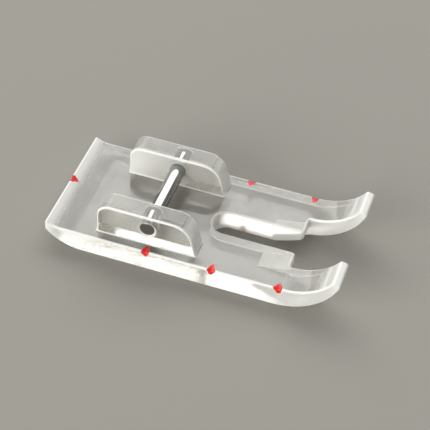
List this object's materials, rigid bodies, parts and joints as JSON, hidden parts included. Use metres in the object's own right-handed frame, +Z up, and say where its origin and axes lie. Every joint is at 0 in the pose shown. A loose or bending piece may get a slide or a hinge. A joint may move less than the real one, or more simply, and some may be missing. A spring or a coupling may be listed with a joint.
{
  "type": "sewing machine presser foot",
  "caption": "Clear clip-on presser foot with open upswept toes, a needle slot, ears holding a steel cross pin, and red seam allowance marks on its rim.",
  "frame": {"origin": "middle of the foot's outline, on the tread plane that rides on the cloth", "axes": "+X to the toes, +Y across the foot, +Z up"},
  "size_m": [0.0423, 0.019, 0.0082],
  "materials": {
    "clear_plastic": "clear, moulded and polished",
    "polished_steel": "polished",
    "red_enamel": "hand filled enamel"
  },
  "bodies": {
    "root": {"clear_foot": "clear_plastic", "cross_pin": "polished_steel", "red_marks": "red_enamel"}
  },
  "joints": []
}
